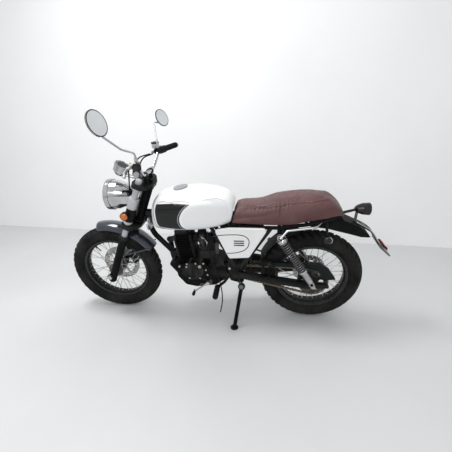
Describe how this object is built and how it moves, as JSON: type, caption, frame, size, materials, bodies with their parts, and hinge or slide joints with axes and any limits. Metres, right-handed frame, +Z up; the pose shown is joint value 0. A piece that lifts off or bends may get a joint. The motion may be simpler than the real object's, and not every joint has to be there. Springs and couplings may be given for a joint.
{
  "type": "motorcycle",
  "caption": "Small cafe racer motorcycle on its side stand, with wire wheels, steering, a rounded tank and a pleated seat.",
  "frame": {"origin": "on the floor, under the middle of the parked machine's bounding box", "axes": "+X forward, +Y to the rider's left, towards which it leans on its side stand, +Z up from the floor"},
  "size_m": [2.0489, 0.926, 1.3567],
  "materials": {
    "tyre": "matte, smooth walls with block tread",
    "rim_black": "gloss black",
    "spoke_steel": "bright steel spokes and hub",
    "disc_steel": "turned steel",
    "chain_steel": "oiled bronze-toned steel",
    "black_paint": "satin black",
    "fork_grey": "light grey covers",
    "bolt_steel": "bright",
    "chrome": "polished",
    "black_rubber": "matte",
    "lever_alloy": "cast and polished",
    "orange_lens": "ribbed amber lens",
    "smoked_lens": "smoked",
    "guard_black": "satin dark blue-black",
    "engine_black": "satin black castings",
    "exhaust_black": "heat-proof satin black",
    "white_paint": "gloss white",
    "white_plastic": "gloss white",
    "cap_grey": "satin grey",
    "brown_leather": "aged brown, pleated",
    "black_plastic": "matte"
  },
  "bodies": {
    "frame": {"frame_backbone": "black_paint", "frame_down_tube": "black_paint", "seat_rails": "black_paint", "front_struts": "black_paint", "rear_struts": "black_paint", "horn": "lever_alloy", "swingarm": "black_paint", "rear_axles": "bolt_steel", "shock_absorbers": "chrome", "chain": "chain_steel", "crankcase": "engine_black", "cylinder": "engine_black", "carburettor": "lever_alloy", "exhaust": "exhaust_black", "foot_controls": "black_paint", "fuel_tank": "white_paint", "tank_cap": "cap_grey", "seat": "brown_leather", "side_covers": "white_plastic", "airbox": "black_plastic", "rear_mudguards": "black_plastic", "chain_guard": "guard_black", "tail_light": "smoked_lens", "plate_bracket": "cap_grey", "rear_indicators": "smoked_lens", "grab_rails": "chrome", "breather_hose": "black_rubber"},
    "steering": {"triple_clamp": "black_paint", "fork_uppers": "fork_grey", "fork_lowers": "black_paint", "front_axle": "bolt_steel", "handlebar": "chrome", "grips": "black_rubber", "levers": "lever_alloy", "mirrors": "chrome", "headlight": "chrome", "speedometer": "chrome", "front_indicators": "orange_lens", "front_mudguard": "guard_black", "cables": "black_rubber"},
    "front_wheel": {"front_tyre": "tyre", "front_rim": "rim_black", "front_hub": "spoke_steel", "front_brake_disc": "disc_steel"},
    "rear_wheel": {"rear_tyre": "tyre", "rear_rim": "rim_black", "rear_hub": "spoke_steel", "rear_sprocket": "disc_steel", "rear_brake_disc": "disc_steel"},
    "side_stand": {"side_stand": "black_paint"}
  },
  "joints": [
    {"name": "steering_turn", "type": "hinge", "parent": "frame", "child": "steering", "pos_m": [0.66365, -0.16006, 0.29209], "axis": [-0.3987, 0.1473, 0.9052], "range_deg": [-35, 35]},
    {"name": "front_wheel_spin", "type": "hinge", "parent": "steering", "child": "front_wheel", "pos_m": [0.7095, -0.15685, 0.31177], "axis": [0, 0.987, -0.1606], "continuous": true},
    {"name": "rear_wheel_spin", "type": "hinge", "parent": "frame", "child": "rear_wheel", "pos_m": [-0.5985, -0.15637, 0.31473], "axis": [0, 0.987, -0.1606], "continuous": true},
    {"name": "side_stand_fold", "type": "hinge", "parent": "frame", "child": "side_stand", "pos_m": [-0.1635, -0.02764, 0.2715], "axis": [0.0934, 0.9772, 0.1908], "range_deg": [0, 95]}
  ]
}
